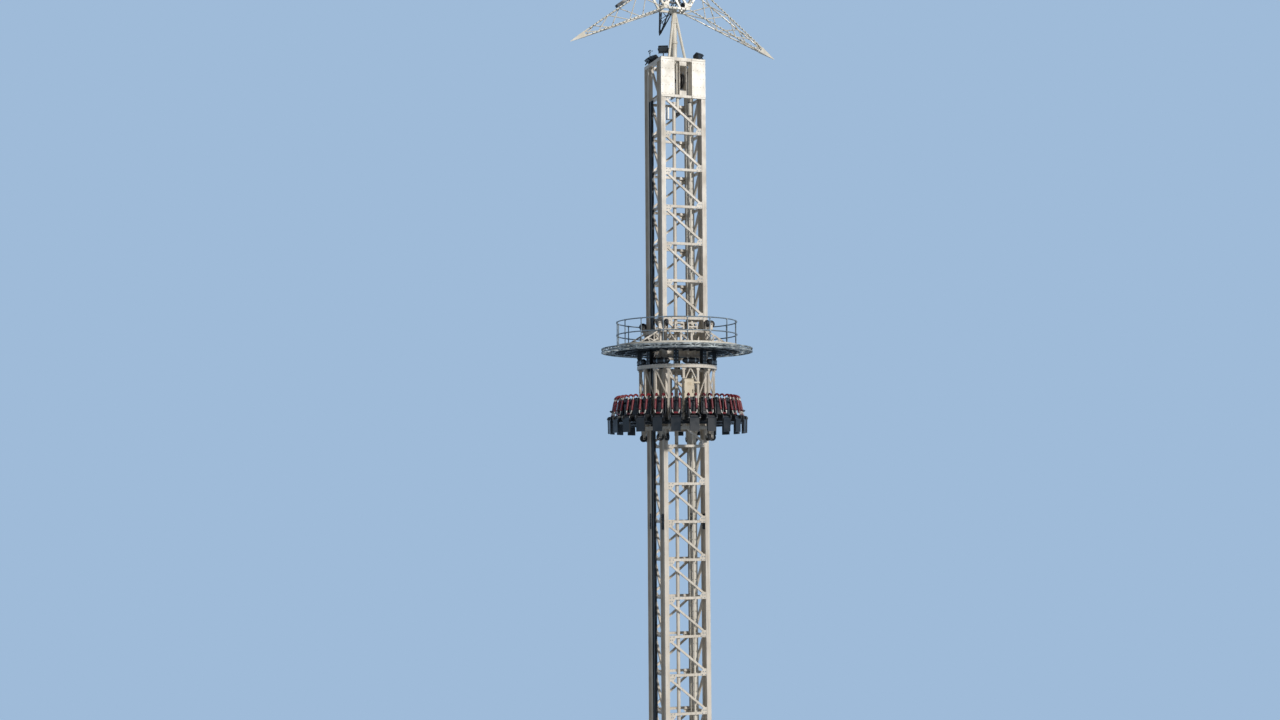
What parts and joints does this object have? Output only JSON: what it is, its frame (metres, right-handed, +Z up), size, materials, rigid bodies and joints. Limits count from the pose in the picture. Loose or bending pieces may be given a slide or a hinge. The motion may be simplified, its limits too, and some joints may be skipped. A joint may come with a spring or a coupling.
{
  "type": "drop tower ride",
  "caption": "Lattice drop tower with a star on its head and a round carriage of outward-facing seats that slides on the mast.",
  "frame": {"origin": "centre of the base frame's underside, on the ground", "axes": "+Z up along the mast, -Y out of the front face with the two lift tubes, +X to the right seen from the front"},
  "size_m": [7.9116, 5.3998, 38.7629],
  "materials": {
    "cream_paint": "satin off-white paint on structural steel",
    "shaded_cream_paint": "aged off-white paint",
    "galvanised_steel": "dull galvanised",
    "dark_steel": "dark grey paint",
    "cast_iron": "machined rim, painted sides",
    "lamp_black": "black powder coat",
    "roller_rubber": "dark tread",
    "seat_shell": "black moulded plastic",
    "harness_pad": "maroon moulded foam skin"
  },
  "bodies": {
    "tower": {"base_frame": "dark_steel", "column_front_left": "cream_paint", "column_front_right": "cream_paint", "column_rear_left": "cream_paint", "column_rear_right": "cream_paint", "lattice_front": "cream_paint", "lattice_rear": "cream_paint", "lattice_left": "cream_paint", "lattice_right": "cream_paint", "column_splices": "galvanised_steel", "lift_tube_large": "cream_paint", "lift_tube_small": "cream_paint", "ladder": "galvanised_steel", "cable_duct": "lamp_black", "head_plate_left": "cream_paint", "head_plate_right": "cream_paint", "head_beams": "shaded_cream_paint", "sheave_frame": "cream_paint", "head_sheaves": "cast_iron", "floodlights": "lamp_black", "wind_mast": "galvanised_steel", "star_pole": "cream_paint", "star_hub": "cream_paint", "star_arm_left": "cream_paint", "star_arm_right": "cream_paint", "star_arm_upper_left": "cream_paint", "star_arm_upper_right": "cream_paint", "star_arm_top": "cream_paint", "star_arm_rear": "shaded_cream_paint"},
    "carriage": {"guide_frame": "cream_paint", "guide_rollers": "roller_rubber", "frame_struts": "cream_paint", "deck": "galvanised_steel", "deck_railing": "galvanised_steel", "outer_ring": "galvanised_steel", "hanger_blocks": "dark_steel", "flange_ring": "cream_paint", "drum_frame": "cream_paint", "drum_cabinet": "cream_paint", "seat_ring": "dark_steel", "seats_front": "seat_shell", "seats_left": "seat_shell", "seats_rear": "seat_shell", "seats_right": "seat_shell", "harnesses": "harness_pad"}
  },
  "joints": [
    {"name": "carriage_drop", "type": "slide", "parent": "tower", "child": "carriage", "axis": [0, 0, 1], "range_m": [-17.4, 7.4]}
  ]
}
